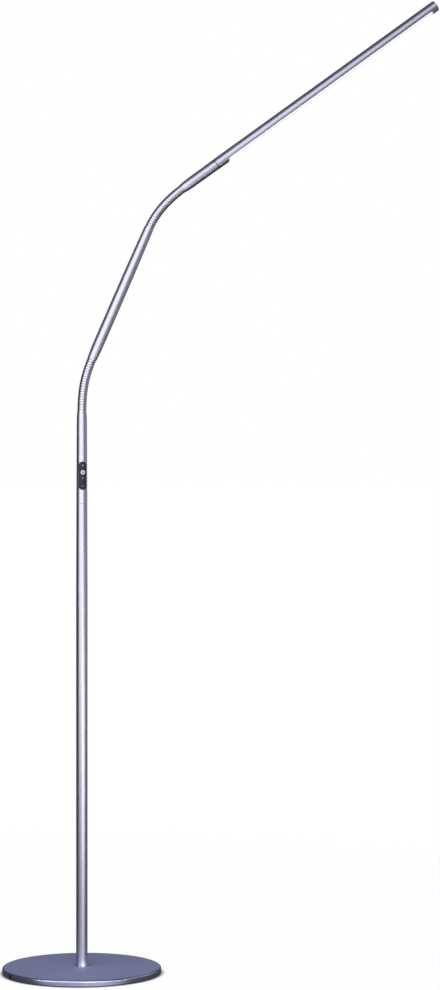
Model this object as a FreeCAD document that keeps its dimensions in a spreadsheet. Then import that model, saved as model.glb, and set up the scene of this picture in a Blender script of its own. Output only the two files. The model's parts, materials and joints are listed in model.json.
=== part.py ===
import FreeCAD, Part
import math
import os

import Sketcher
from FreeCAD import Placement, Rotation, Vector

# Gooseneck reading floor lamp. The origin is on the floor under the middle of the round base, +Z
# is up, the arm leans towards +X in the XZ plane and the control panel faces -Y. Millimetres and
# degrees throughout.

document = FreeCAD.newDocument("gooseneck_reading_lamp")

SIZES = {
    # base
    "base_diameter": 228.6,
    "base_thickness": 8.0,
    "base_edge_round": 2.5,
    "pad_thickness": 1.2,
    "pad_inset": 2.0,
    "stem_diameter": 10.0,
    "stem_bore": 6.4,
    "stem_plug_length": 25.0,
    "stem_clearance": 0.2,
    "stem_recess": 3.0,
    "nut_pocket_diameter": 26.0,
    "nut_pocket_depth": 6.0,
    "nut_width": 16.0,
    "nut_thickness": 1.85,
    "washer_diameter": 23.0,
    "washer_thickness": 1.0,
    "channel_width": 4.0,
    "channel_depth": 4.0,
    "slot_runout": 1.0,
    # power socket in the rim
    "jack_angle": 196.5,
    "jack_width": 9.0,
    "jack_length": 14.0,
    "jack_height": 6.1,
    "jack_fit": 0.15,
    "jack_setback": 0.3,
    "jack_bore": 5.6,
    "jack_bore_depth": 10.0,
    "jack_pin_setback": 1.0,
    "jack_pin_diameter": 2.1,
    # pole
    "foot_diameter": 18.4,
    "foot_height": 13.0,
    "foot_top_diameter": 17.2,
    "foot_lip": 1.6,
    "foot_round": 80.0,
    "pole_diameter": 16.4,
    "pole_bore": 13.5,
    "taper_start": 560.0,
    "seam_height": 675.5,
    "seam_gap": 0.3,
    "edge_break": 0.2,
    "seam_diameter": 15.75,
    "joiner_depth": 36.0,
    "joiner_reach": 12.0,
    "joiner_bore": 9.0,
    # tube that holds the controls
    "control_bore": 12.7,
    "control_top_diameter": 14.9,
    "shoulder_diameter": 14.4,
    "shoulder_drop": 6.65,
    "upper_taper_drop": 22.0,
    "shoulder_round": 42.0,
    "mouth_diameter": 13.1,
    "mouth_bore": 11.2,
    "sleeve_length": 14.0,
    "sleeve_taper": 6.0,
    # control panel
    "panel_height": 715.8,
    "panel_width": 10.7,
    "panel_length": 41.2,
    "panel_face_radius": 8.0,
    "panel_back": 5.2,
    "panel_gap": 0.1,
    "panel_stock": 1.0,
    "key_diameter": 7.0,
    "key_gap": 0.15,
    "key_face_radius": 8.15,
    "power_face_radius": 8.35,
    "key_flange_diameter": 8.0,
    "key_flange_thickness": 0.7,
    "key_setback": 0.2,
    "power_drop": -4.9,
    "brighter_drop": -14.8,
    "dimmer_drop": 14.8,
    "lamp_dot_drop": 3.3,
    "lamp_dot_diameter": 1.9,
    "lens_diameter": 2.1,
    "lens_sink": 0.25,
    "post_drop": 7.4,
    "post_offset": 3.0,
    "post_diameter": 2.4,
    "post_root": 0.3,
    "screw_sink": 0.5,
    "board_front": 2.2,
    "board_thickness": 1.2,
    "board_width": 11.0,
    "board_length": 52.0,
    "switch_width": 4.5,
    "switch_height": 1.3,
    "plunger_diameter": 2.0,
    "plunger_height": 0.35,
    "screw_diameter": 1.6,
    "screw_head_diameter": 2.8,
    "screw_head_height": 0.7,
    # goosenecks
    "neck_height": 810.1,
    "neck_diameter": 13.0,
    "rib_pitch": 3.68,
    "rib_edge_radius": 6.24,
    "groove_angle": 7.2,
    "ball_radius": 5.5,
    "ball_gap": 0.1,
    "ball_top": 2.6,
    "ball_mouth_radius": 3.2,
    "ball_mouth_depth": 1.6,
    "socket_depth": 4.0,
    "neck_bore": 4.4,
    "collar_length": 2.3,
    "plug_length": 16.0,
    "plug_gap": 0.05,
    "lower_bend_1": 1.93,
    "lower_bend_2": 3.56,
    "lower_bend_3": 4.93,
    "lower_bend_4": 5.64,
    "lower_bend_5": 4.83,
    "lower_bend_6": 2.91,
    "upper_bend_1": 5.24,
    "upper_bend_2": 6.14,
    "upper_bend_3": 6.46,
    "upper_bend_4": 5.18,
    "upper_bend_5": 4.08,
    "upper_bend_6": 3.11,
    # tube between the necks
    "mid_span": 212.4,
    "mid_diameter": 15.7,
    "mid_bore": 13.4,
    "mid_foot_diameter": 13.8,
    "mid_top_diameter": 13.8,
    "mid_shoulder": 34.0,
    "mid_taper_start": 99.4,
    "bore_step": 4.0,
    # ferrule that carries the head
    "ferrule_span": 63.0,
    "ferrule_shoulder": 20.0,
    "ferrule_foot_diameter": 13.8,
    "ferrule_shoulder_diameter": 15.6,
    "ferrule_end_diameter": 16.1,
    "ferrule_bore": 13.7,
    "swivel_gap": 1.0,
    "swivel_diameter": 8.0,
    "swivel_bore": 4.8,
    "swivel_clearance": 0.06,
    "swivel_flange_length": 8.0,
    "swivel_reach": 11.4,
    "swivel_groove_diameter": 6.8,
    "clip_diameter": 11.0,
    "clip_thickness": 0.7,
    "clip_gap": 0.3,
    "swivel_washer_diameter": 14.2,
    "washer_gap": 0.1,
    # head
    "head_length": 414.2,
    "head_diameter": 16.4,
    "head_bore": 14.0,
    "head_flat": 3.1,
    "window_start": 19.0,
    "window_end": 10.5,
    "window_lip_round": 1.3,
    "head_plug_length": 9.0,
    "cap_thickness": 1.5,
    "cap_spigot": 7.5,
    "cap_round": 1.0,
    "diffuser_depth": 6.8,
    "diffuser_width": 14.6,
    "diffuser_wall": 1.2,
    "diffuser_rim": 0.2,
    "diffuser_gap": 0.25,
    "tongue_offset": 5.6,
    "tongue_thickness": 1.0,
    "tongue_top": 2.5,
    "tray_width": 12.4,
    "tray_thickness": 2.0,
    "tray_top": 2.5,
    "light_board_width": 10.0,
    "light_board_thickness": 1.0,
    "light_board_start": 18.5,
    "light_board_end": 14.0,
    "chip_width": 2.8,
    "chip_length": 3.5,
    "chip_height": 0.7,
    "chip_first": 28.0,
    "chip_pitch": 9.3,
    # leads
    "lead_diameter": 2.4,
    "lead_offset": 1.9,
    "lead_floor_gap": 1.5,
    "lead_turn": 5.0,
}
VERTEBRAE = 10
CHIPS = 40

sheet = document.addObject("Spreadsheet::Sheet", "Sheet")
for row, (alias, number) in enumerate(SIZES.items(), 1):
    sheet.set(f"A{row}", alias)
    sheet.set(f"B{row}", f"{number:g}")
    sheet.setAlias(f"B{row}", alias)
document.recompute()


class Size:
    """A size as a number and as the formula over the sheet's cells that gives it."""

    def __init__(self, number, formula):
        self.number = number
        self.formula = formula

    def __add__(self, other):
        other = as_size(other)
        return Size(self.number + other.number, f"({self.formula} + {other.formula})")

    def __sub__(self, other):
        other = as_size(other)
        return Size(self.number - other.number, f"({self.formula} - {other.formula})")

    def __mul__(self, other):
        other = as_size(other)
        return Size(self.number * other.number, f"({self.formula} * {other.formula})")

    def __truediv__(self, other):
        other = as_size(other)
        return Size(self.number / other.number, f"({self.formula} / {other.formula})")

    def __radd__(self, other):
        return as_size(other) + self

    def __rsub__(self, other):
        return as_size(other) - self

    def __rmul__(self, other):
        return as_size(other) * self

    def __neg__(self):
        return Size(-self.number, f"(0 - {self.formula})")


def as_size(value):
    """A Size for a plain number too."""
    return value if isinstance(value, Size) else Size(value, f"{value:g}")


def cell(alias):
    """The size that a cell of the sheet holds."""
    return Size(SIZES[alias], f"Sheet.{alias}")


def half(alias):
    """Half of a cell, such as a diameter's radius."""
    return cell(alias) / 2


def root(size):
    """The square root of a size."""
    return Size(math.sqrt(size.number), f"sqrt({size.formula})")


def turned(function, name, angle):
    """A sine, cosine or tangent of an angle cell."""
    return Size(function(math.radians(angle.number)), f"{name}({angle.formula})")


def bind(thing, **properties):
    """Sets an object's properties and ties them to the sheet."""
    for name, value in properties.items():
        size = as_size(value)
        setattr(thing, name, size.number)
        thing.setExpression(name, size.formula)


def plane_of(body, role):
    """One of a body's own origin planes."""
    return next(feature for feature in body.Origin.OriginFeatures if feature.Role == role)


def new_sketch(body, role):
    """A sketch on one of a body's origin planes."""
    sketch = body.newObject("Sketcher::SketchObject", f"{body.Name}_{role}_sketch")
    sketch.AttachmentSupport = [(plane_of(body, role), "")]
    sketch.MapMode = "FlatFace"
    return sketch


def edge_between(start, end, radius):
    """A line, or an arc that turns left for a radius above 0 and right for one below 0."""
    if not radius:
        return Part.LineSegment(start, end), 1, 2
    chord = end - start
    rise = math.sqrt(radius * radius - chord.Length**2 / 4)
    side = Vector(-chord.y, chord.x, 0).normalize() * math.copysign(rise, radius)
    centre = (start + end) / 2 + side
    angles = [math.atan2(point.y - centre.y, point.x - centre.x) for point in (start, end)]
    first, last = angles if radius > 0 else angles[::-1]
    if last < first:
        last += 2 * math.pi
    arc = Part.ArcOfCircle(Part.Circle(centre, Vector(0, 0, 1), abs(radius)), first, last)
    return (arc, 1, 2) if radius > 0 else (arc, 2, 1)


def hold_point(sketch, geometry, end, axis, size):
    """Ties one coordinate of an edge's end to its size."""
    if abs(size.number) < 1e-9:
        on_axis = -2 if axis == "X" else -1
        sketch.addConstraint(Sketcher.Constraint("PointOnObject", geometry, end, on_axis))
        return
    number = sketch.addConstraint(
        Sketcher.Constraint(f"Distance{axis}", -1, 1, geometry, end, size.number)
    )
    sketch.setExpression(f"Constraints[{number}]", size.formula)


def outline(sketch, corners):
    """A closed outline. Each corner is (x, y), or (x, y, radius) where an arc leads to it."""
    sizes = [[as_size(value) for value in corner] for corner in corners]
    points = [Vector(corner[0].number, corner[1].number, 0) for corner in sizes]
    edges = []
    for number, corner in enumerate(sizes):
        radius = corner[2].number if len(corner) == 3 else 0
        edge, start, end = edge_between(points[number - 1], points[number], radius)
        edges.append((sketch.addGeometry(edge, False), start, end))
    for number, (geometry, start, end) in enumerate(edges):
        after, after_start, _ = edges[(number + 1) % len(edges)]
        sketch.addConstraint(
            Sketcher.Constraint("Coincident", geometry, end, after, after_start)
        )
        hold_point(sketch, geometry, end, "X", sizes[number][0])
        hold_point(sketch, geometry, end, "Y", sizes[number][1])
        if len(sizes[number]) == 3:
            radius = sizes[number][2]
            if radius.number < 0:
                radius = -radius
            held = sketch.addConstraint(
                Sketcher.Constraint("Radius", geometry, radius.number)
            )
            sketch.setExpression(f"Constraints[{held}]", radius.formula)


def ring_outline(sketch, radius, x=0, y=0):
    """A circle with its centre and radius tied to the sheet."""
    x, y, radius = as_size(x), as_size(y), as_size(radius)
    centre = Vector(x.number, y.number, 0)
    circle = Part.Circle(centre, Vector(0, 0, 1), radius.number)
    geometry = sketch.addGeometry(circle, False)
    hold_point(sketch, geometry, 3, "X", x)
    hold_point(sketch, geometry, 3, "Y", y)
    held = sketch.addConstraint(Sketcher.Constraint("Radius", geometry, radius.number))
    sketch.setExpression(f"Constraints[{held}]", radius.formula)


def rectangle(x0, y0, x1, y1):
    """The corners of an upright rectangle."""
    return [(x0, y0), (x1, y0), (x1, y1), (x0, y1)]


nodes = {}


def keep(name, thing, placement=None):
    """Names a finished sub-part and puts it in its place."""
    thing.Label = name
    if placement:
        thing.Placement = placement
    nodes[name] = thing
    return thing


def new_body(name):
    """An empty body."""
    return document.addObject("PartDesign::Body", f"{name}_body")


def turn(body, corners):
    """Turns a profile of (radius, height) corners about the body's Z axis."""
    sketch = new_sketch(body, "XZ_Plane")
    outline(sketch, corners)
    revolution = body.newObject("PartDesign::Revolution", f"{body.Name}_turned")
    revolution.Profile = sketch
    revolution.ReferenceAxis = (sketch, ["V_Axis"])
    revolution.Angle = 360
    return revolution


def turned_part(name, corners, placement=None):
    """A sub-part that is one turned profile."""
    body = new_body(name)
    turn(body, corners)
    return keep(name, body, placement)


def pad(body, sketch, length, symmetric=False):
    """Pads a sketch by a length tied to the sheet."""
    feature = body.newObject("PartDesign::Pad", f"{body.Name}_pad")
    feature.Profile = sketch
    bind(feature, Length=length)
    if symmetric:
        feature.SideType = "Symmetric"
    return feature


def pocket(body, sketch, length, reverse=False, symmetric=False):
    """Cuts a sketch out of a body, and makes sure that it cut something."""
    document.recompute()
    before = body.Shape.Volume
    feature = body.newObject("PartDesign::Pocket", f"{body.Name}_pocket")
    feature.Profile = sketch
    bind(feature, Length=length)
    feature.Reversed = reverse
    if symmetric:
        feature.SideType = "Symmetric"
    document.recompute()
    if body.Shape.Volume > before - 1e-3:
        raise RuntimeError(f"{feature.Name} cut nothing")
    return feature


def cylinder(name, radius, height, placement=None):
    """A Part cylinder tied to the sheet."""
    thing = document.addObject("Part::Cylinder", name)
    bind(thing, Radius=radius, Height=height)
    if placement:
        thing.Placement = placement
    return thing


def box(name, length, width, height, corner, turn_about_z=0):
    """A Part box tied to the sheet, with its low corner at a point, turned about the Z axis."""
    thing = document.addObject("Part::Box", name)
    bind(thing, Length=length, Width=width, Height=height)
    corner = Vector(*[as_size(value).number for value in corner])
    spin = Rotation(Vector(0, 0, 1), turn_about_z)
    thing.Placement = Placement(spin.multVec(corner), spin)
    return thing


def fused(name, things):
    """One solid from several that meet."""
    thing = document.addObject("Part::MultiFuse", name)
    thing.Shapes = things
    thing.Refine = True
    return thing


def cut(name, base, tool):
    """A base with a tool taken out of it."""
    thing = document.addObject("Part::Cut", name)
    thing.Base = base
    thing.Tool = tool
    return thing


def common(name, things):
    """What several solids share."""
    thing = document.addObject("Part::MultiCommon", name)
    thing.Shapes = things
    return thing


def group(name, things):
    """Separate solids of one kind in one node."""
    thing = document.addObject("Part::Compound", f"{name}_group")
    thing.Links = things
    return keep(name, thing)


# Heights and headings that several sub-parts share
BASE_TOP = cell("pad_thickness") + cell("base_thickness")
POCKET_TOP = cell("pad_thickness") + cell("nut_pocket_depth")
STEM_HOLE = half("stem_diameter") + cell("stem_clearance")
JACK_FLOOR = cell("pad_thickness") + cell("panel_gap")
JACK_CENTRE = JACK_FLOOR + half("jack_height")
JACK_BACK = half("base_diameter") - cell("jack_length") - cell("jack_setback")
TOWARDS_JACK = Rotation(Vector(0, 0, 1), SIZES["jack_angle"])
PLUG_GAP = cell("plug_gap")
MOUTH_SETBACK = cell("collar_length") + PLUG_GAP


def heading_turn(heading):
    """The turn from +Z to a heading, in degrees above +X, in the arm's plane."""
    return Rotation(Vector(0, 1, 0), 90 - heading)


def along(start, heading, distance):
    """The point at a distance along a heading."""
    angle = math.radians(heading)
    return start + Vector(math.cos(angle), 0, math.sin(angle)) * distance


def neck_route(start, heading, name):
    """The hinge points of a neck and the heading beyond each. Every second hinge bends in the
    arm's plane, by its own part of the neck's curve at rest, and the others sway."""
    hinges, headings = [start], []
    for number in range(VERTEBRAE + 1):
        if number % 2 == 0:
            heading -= SIZES[f"{name}_bend_{number // 2 + 1}"]
        headings.append(heading)
        if number < VERTEBRAE:
            hinges.append(along(hinges[-1], heading, 2 * SIZES["rib_pitch"]))
    return hinges, headings


LOWER_HINGES, LOWER_HEADINGS = neck_route(Vector(0, 0, SIZES["neck_height"]), 90, "lower")
MID_START, MID_HEADING = LOWER_HINGES[-1], LOWER_HEADINGS[-1]
MID_END = along(MID_START, MID_HEADING, SIZES["mid_span"])
UPPER_HINGES, UPPER_HEADINGS = neck_route(MID_END, MID_HEADING, "upper")
FERRULE_START, HEAD_HEADING = UPPER_HINGES[-1], UPPER_HEADINGS[-1]
HEAD_START = along(FERRULE_START, HEAD_HEADING, SIZES["ferrule_span"])
MID_FRAME = Placement(MID_START, heading_turn(MID_HEADING))
FERRULE_FRAME = Placement(FERRULE_START, heading_turn(HEAD_HEADING))
HEAD_FRAME = Placement(HEAD_START, heading_turn(HEAD_HEADING))


# Base

def turned_plate():
    """The heavy round plate, with a rounded top edge, a stem hole and a nut pocket."""
    body = new_body("base_plate")
    edge = cell("base_edge_round")
    radius = half("base_diameter")
    bottom = cell("pad_thickness")
    turn(body, [
        (STEM_HOLE, POCKET_TOP),
        (half("nut_pocket_diameter"), POCKET_TOP),
        (half("nut_pocket_diameter"), bottom),
        (radius, bottom),
        (radius, BASE_TOP - edge),
        (radius - edge, BASE_TOP, edge),
        (STEM_HOLE, BASE_TOP),
    ])
    return body


def lead_slots():
    """The channel and the jack bay that are milled into the plate's underside."""
    below = cell("slot_runout")
    floor = cell("pad_thickness") - below
    channel_start = half("nut_pocket_diameter") - below
    channel = box(
        "lead_channel",
        JACK_BACK + below - channel_start,
        cell("channel_width"),
        cell("channel_depth") + below,
        (channel_start, -half("channel_width"), floor),
        SIZES["jack_angle"],
    )
    fit = cell("jack_fit")
    bay = box(
        "jack_bay",
        cell("jack_length") + 2 * below,
        cell("jack_width") + 2 * fit,
        cell("jack_height") + fit + below,
        (JACK_BACK - fit, -half("jack_width") - fit, floor),
        SIZES["jack_angle"],
    )
    return fused("lead_slots", [channel, bay])


def base():
    """The plate and the pad that it stands on."""
    keep("base_plate", cut("base_plate_milled", turned_plate(), lead_slots()))
    body = new_body("base_pad")
    sketch = new_sketch(body, "XY_Plane")
    ring_outline(sketch, half("base_diameter") - cell("pad_inset"))
    pad(body, sketch, cell("pad_thickness"))
    keep("base_pad", body)


def jack_axis(radius):
    """A placement that points along the socket's axis, outwards, from a radius."""
    middle = TOWARDS_JACK.multVec(Vector(as_size(radius).number, 0, JACK_CENTRE.number))
    return Placement(middle, TOWARDS_JACK * Rotation(Vector(0, 1, 0), 90))


def power_jack():
    """The socket's housing in the base's rim and the contact pin inside it."""
    housing = box(
        "jack_block",
        cell("jack_length"),
        cell("jack_width"),
        cell("jack_height"),
        (JACK_BACK, -half("jack_width"), JACK_FLOOR),
        SIZES["jack_angle"],
    )
    mouth = JACK_BACK + cell("jack_length")
    bore = cylinder(
        "jack_hole",
        half("jack_bore"),
        cell("jack_bore_depth") + cell("slot_runout"),
        jack_axis(mouth - cell("jack_bore_depth")),
    )
    keep("power_jack", cut("power_jack_bored", housing, bore))
    pin = cylinder(
        "jack_pin_rod",
        half("jack_pin_diameter"),
        cell("jack_bore_depth") - cell("jack_pin_setback"),
        jack_axis(mouth - cell("jack_bore_depth")),
    )
    keep("jack_pin", pin)


def pole_fixing():
    """The threaded stem in the pole's foot, its washer and nut, and the flared collar on top."""
    stem = half("stem_diameter")
    bore = half("stem_bore")
    stem_end = POCKET_TOP - cell("stem_recess")
    plug = half("pole_bore") - PLUG_GAP
    top = BASE_TOP + cell("stem_plug_length")
    turned_part("pole_stem", [
        (bore, stem_end),
        (stem, stem_end),
        (stem, BASE_TOP),
        (plug, BASE_TOP),
        (plug, top),
        (bore, top),
    ])
    washer_top = POCKET_TOP - PLUG_GAP
    washer_floor = washer_top - cell("washer_thickness")
    turned_part("stem_washer", rectangle(
        STEM_HOLE, washer_floor, half("washer_diameter"), washer_top
    ))
    nut_top = washer_floor - PLUG_GAP
    body = new_body("stem_nut")
    sketch = new_sketch(body, "XY_Plane")
    corner_radius = half("nut_width") / math.cos(math.radians(30))
    corners = []
    for number in range(6):
        angle = math.radians(60 * number)
        corners.append((corner_radius * math.cos(angle), corner_radius * math.sin(angle)))
    outline(sketch, corners)
    ring_outline(sketch, stem + PLUG_GAP)
    pad(body, sketch, cell("nut_thickness"))
    nut_floor = nut_top - cell("nut_thickness")
    keep("stem_nut", body, Placement(Vector(0, 0, nut_floor.number), Rotation()))
    inner = half("pole_diameter") + PLUG_GAP
    turned_part("pole_foot", [
        (inner, BASE_TOP),
        (half("foot_diameter"), BASE_TOP),
        (half("foot_diameter"), BASE_TOP + cell("foot_lip")),
        (half("foot_top_diameter"), BASE_TOP + cell("foot_height"), -cell("foot_round")),
        (inner, BASE_TOP + cell("foot_height")),
    ])


# Pole

def lower_pole():
    """The long tube, slightly tapered towards its top, with its edge broken at the seam."""
    break_edge = cell("edge_break")
    radius = half("pole_diameter")
    seam = cell("seam_height")
    turned_part("lower_pole", [
        (half("pole_bore"), BASE_TOP),
        (radius, BASE_TOP),
        (radius, cell("taper_start")),
        (half("seam_diameter"), seam - break_edge),
        (half("seam_diameter") - break_edge, seam),
        (half("pole_bore"), seam),
    ])


def pole_joiner():
    """The stepped sleeve that joins the two pole tubes from inside."""
    seam = cell("seam_height") + PLUG_GAP
    lower = half("pole_bore") - PLUG_GAP
    upper = half("control_bore") - PLUG_GAP
    turned_part("pole_joiner", [
        (half("joiner_bore"), seam - cell("joiner_depth")),
        (lower, seam - cell("joiner_depth")),
        (lower, seam),
        (upper, seam),
        (upper, seam + cell("joiner_reach")),
        (half("joiner_bore"), seam + cell("joiner_reach")),
    ])


def stadium(sketch, centre, width, length):
    """A slot outline with round ends, upright in the sketch."""
    side = width / 2
    straight = (length - width) / 2
    left_low = (-side, centre - straight)
    outline(sketch, [
        left_low,
        (0, centre - straight - side, side),
        (side, centre - straight, side),
        (side, centre + straight),
        (0, centre + straight + side, side),
        (-side, centre + straight, side),
    ])


def control_tube():
    """The upper pole tube, with the window for the control panel and a rounded mouth."""
    body = new_body("control_tube")
    foot = cell("seam_height") + cell("seam_gap")
    mouth = cell("neck_height") - MOUTH_SETBACK
    break_edge = cell("edge_break")
    radius = half("seam_diameter")
    bore = half("control_bore")
    turn(body, [
        (bore, foot),
        (radius - break_edge, foot),
        (radius, foot + break_edge),
        (half("control_top_diameter"), mouth - cell("upper_taper_drop")),
        (half("shoulder_diameter"), mouth - cell("shoulder_drop")),
        (half("mouth_diameter"), mouth, cell("shoulder_round")),
        (half("mouth_bore"), mouth),
        (half("mouth_bore"), mouth - cell("sleeve_length")),
        (bore, mouth - cell("sleeve_length") - cell("sleeve_taper")),
    ])
    sketch = new_sketch(body, "XZ_Plane")
    stadium(sketch, cell("panel_height"), cell("panel_width"), cell("panel_length"))
    pocket(body, sketch, half("pole_diameter") + cell("panel_stock"), reverse=True)
    keep("control_tube", body)


def facing_panel(x, height, depth):
    """A placement that points out of the panel, towards -Y, from a depth behind the pole's axis."""
    point = Vector(*[as_size(value).number for value in (x, -depth, height)])
    return Placement(point, Rotation(Vector(1, 0, 0), 90))


def rod(name, radius, height, start, end, x=0):
    """A cylinder across the panel, from one depth in front of the pole's axis to another."""
    start, end = as_size(start), as_size(end)
    return cylinder(name, radius, end - start, facing_panel(x, height, start))


def behind(radius):
    """The space inside an upright cylinder over the panel's height."""
    span = cell("panel_length")
    floor = cell("panel_height") - span / 2
    place = Placement(Vector(0, 0, floor.number), Rotation())
    return cylinder("panel_envelope", radius, span, place)


PANEL_FRONT = cell("power_face_radius") + cell("panel_stock")
POWER_HEIGHT = cell("panel_height") - cell("power_drop")
BRIGHTER_HEIGHT = cell("panel_height") - cell("brighter_drop")
DIMMER_HEIGHT = cell("panel_height") - cell("dimmer_drop")
DOT_HEIGHT = cell("panel_height") - cell("lamp_dot_drop")
POST_HEIGHT = cell("panel_height") - cell("post_drop")
KEY_HEIGHTS = (POWER_HEIGHT, BRIGHTER_HEIGHT, DIMMER_HEIGHT)


def control_bezel():
    """The curved panel that fills the window, with holes for the keys and posts for the board."""
    body = new_body("bezel_slab")
    sketch = new_sketch(body, "XZ_Plane")
    gap = cell("panel_gap") * 2
    stadium(
        sketch, cell("panel_height"), cell("panel_width") - gap, cell("panel_length") - gap
    )
    pad(body, sketch, PANEL_FRONT)
    back = new_sketch(body, "XZ_Plane")
    stadium(back, cell("panel_height"), cell("panel_width"), cell("panel_length"))
    pocket(body, back, cell("panel_back"), reverse=True)
    face = common("bezel_face", [body, behind(cell("panel_face_radius"))])
    board_face = cell("board_front") + PLUG_GAP
    posts = [
        rod("bezel_post", half("post_diameter"), POST_HEIGHT, board_face,
            cell("panel_back") + cell("post_root"), side * cell("post_offset"))
        for side in (-1, 1)
    ]
    holes = [
        rod("key_hole", half("key_diameter") + cell("key_gap"), height, 0, PANEL_FRONT)
        for height in KEY_HEIGHTS
    ]
    holes.append(
        rod("dot_hole", half("lamp_dot_diameter") + PLUG_GAP, DOT_HEIGHT, 0, PANEL_FRONT)
    )
    holes += [
        rod("post_hole", half("screw_diameter") + PLUG_GAP, POST_HEIGHT, 0,
            cell("panel_back") - cell("screw_sink") + PLUG_GAP, side * cell("post_offset"))
        for side in (-1, 1)
    ]
    solid = fused("bezel_solid", [face] + posts)
    keep("control_bezel", cut("bezel_drilled", solid, fused("bezel_holes", holes)))


def key(name, height, face_radius, bore=None):
    """A round key with the panel's curve on its face and a flange that holds it in."""
    flange_front = cell("panel_back") - cell("key_setback")
    flange_back = flange_front - cell("key_flange_thickness")
    shaft = rod(f"{name}_shaft", half("key_diameter"), height, flange_back, PANEL_FRONT)
    faced = common(f"{name}_faced", [shaft, behind(face_radius)])
    flange = rod(
        f"{name}_flange", half("key_flange_diameter"), height, flange_back, flange_front
    )
    solid = fused(f"{name}_solid", [faced, flange])
    if bore:
        hole = rod(f"{name}_hole", bore, height, 0, PANEL_FRONT)
        solid = cut(f"{name}_bored", solid, hole)
    keep(name, solid)


def keys():
    """The three keys, and the dark lens in the middle of the power key's ring."""
    key("power_key", POWER_HEIGHT, cell("power_face_radius"),
        half("lens_diameter") + PLUG_GAP)
    key("brighter_key", BRIGHTER_HEIGHT, cell("key_face_radius"))
    key("dimmer_key", DIMMER_HEIGHT, cell("key_face_radius"))
    lens_back = cell("panel_back") - cell("key_setback") - cell("key_flange_thickness")
    lens = rod("lens_rod", half("lens_diameter"), POWER_HEIGHT, lens_back,
               cell("power_face_radius") - cell("lens_sink"))
    keep("power_lens", lens)


def control_board():
    """The board behind the panel, its three switches, its screws and the indicator's light pipe."""
    front = cell("board_front")
    back = front - cell("board_thickness")
    plate = box(
        "board_plate",
        cell("board_width"),
        cell("board_thickness"),
        cell("board_length"),
        (-half("board_width"), -front, cell("panel_height") - half("board_length")),
    )
    holes = [
        rod("board_hole", half("screw_diameter") + PLUG_GAP, POST_HEIGHT, 0, PANEL_FRONT,
            side * cell("post_offset"))
        for side in (-1, 1)
    ]
    keep("control_board", cut("board_drilled", plate, fused("board_holes", holes)))
    switches = []
    switch_face = front + cell("switch_height")
    for height in KEY_HEIGHTS:
        case = box(
            "switch_case",
            cell("switch_width"),
            cell("switch_height"),
            cell("switch_width"),
            (-half("switch_width"), -switch_face, height - half("switch_width")),
        )
        plunger = rod("switch_plunger", half("plunger_diameter"), height, front,
                      switch_face + cell("plunger_height"))
        switches.append(fused("switch", [case, plunger]))
    group("key_switches", switches)
    screws = []
    for side in (-1, 1):
        x = side * cell("post_offset")
        head = rod("screw_head", half("screw_head_diameter"), POST_HEIGHT,
                   back - cell("screw_head_height"), back, x)
        shank = rod("screw_shank", half("screw_diameter"), POST_HEIGHT,
                    back - cell("screw_head_height"), cell("panel_back") - cell("screw_sink"), x)
        screws.append(fused("screw", [head, shank]))
    group("board_screws", screws)
    pipe = rod("pipe_rod", half("lamp_dot_diameter"), DOT_HEIGHT, front + PLUG_GAP,
               cell("panel_face_radius"))
    keep("indicator_pipe", pipe)


# Goosenecks

GROOVE_RISE = turned(math.tan, "tan", cell("groove_angle"))
GROOVE_COSINE = turned(math.cos, "cos", cell("groove_angle"))
GROOVE_SINE = turned(math.sin, "sin", cell("groove_angle"))
EDGE = cell("rib_edge_radius")
EDGE_RISE = EDGE * GROOVE_RISE
CROWN = half("neck_diameter")
SWELL = CROWN - EDGE
HALF_RIB = half("rib_pitch") - EDGE_RISE
RIB_ROUND = (HALF_RIB * HALF_RIB + SWELL * SWELL) / (2 * SWELL)
BALL = cell("ball_radius")
SOCKET = BALL + cell("ball_gap")
BORE = half("neck_bore")


def ball_end(hinge):
    """The corners of a ball end at a hinge, from the groove's edge up to the bore."""
    top = cell("ball_top")
    return [
        (BALL * GROOVE_COSINE, hinge - BALL * GROOVE_SINE),
        (root(BALL * BALL - top * top), hinge + top, BALL),
        (cell("ball_mouth_radius"), hinge + top),
        (BORE, hinge + top - cell("ball_mouth_depth")),
    ]


def socket_end():
    """The corners of a socket end, from the bore down to the groove's edge at the hinge."""
    depth = cell("socket_depth")
    return [
        (BORE, depth),
        (root(SOCKET * SOCKET - depth * depth), depth),
        (SOCKET * GROOVE_COSINE, SOCKET * GROOVE_SINE, -SOCKET),
        (EDGE, EDGE_RISE),
    ]


def vertebra_corners():
    """One link of a neck: a socket, two round ribs with a groove between, and a ball."""
    pitch = cell("rib_pitch")
    floor = BALL * GROOVE_COSINE
    floor_rise = BALL * GROOVE_SINE
    return socket_end() + [
        (EDGE, pitch - EDGE_RISE, RIB_ROUND),
        (floor, pitch - floor_rise),
        (floor, pitch + floor_rise),
        (EDGE, pitch + EDGE_RISE),
        (EDGE, 2 * pitch - EDGE_RISE, RIB_ROUND),
    ] + ball_end(2 * pitch)


def neck(name, hinges, headings):
    """The links of one gooseneck, each in its own node."""
    for number in range(VERTEBRAE):
        place = Placement(hinges[number], heading_turn(headings[number]))
        turned_part(f"{name}_link_{number + 1:02d}", vertebra_corners(), place)


def neck_foot(name, place):
    """The fitting below a neck: a plug in the tube, a half rib and the first ball."""
    plug = half("mouth_bore") - PLUG_GAP
    collar = -cell("collar_length")
    end = collar - cell("plug_length")
    turned_part(name, [
        (BORE, end),
        (plug, end),
        (plug, collar),
        (CROWN, collar),
        (CROWN, -half("rib_pitch")),
        (EDGE, -EDGE_RISE, RIB_ROUND),
    ] + ball_end(as_size(0)), place)


def neck_cap(name, place):
    """The fitting above a neck: the last socket, a half rib and a plug in the next tube."""
    plug = half("mouth_bore") - PLUG_GAP
    collar = cell("collar_length")
    end = collar + cell("plug_length")
    turned_part(name, socket_end() + [
        (CROWN, half("rib_pitch"), RIB_ROUND),
        (CROWN, collar),
        (plug, collar),
        (plug, end),
        (BORE, end),
    ], place)


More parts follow.
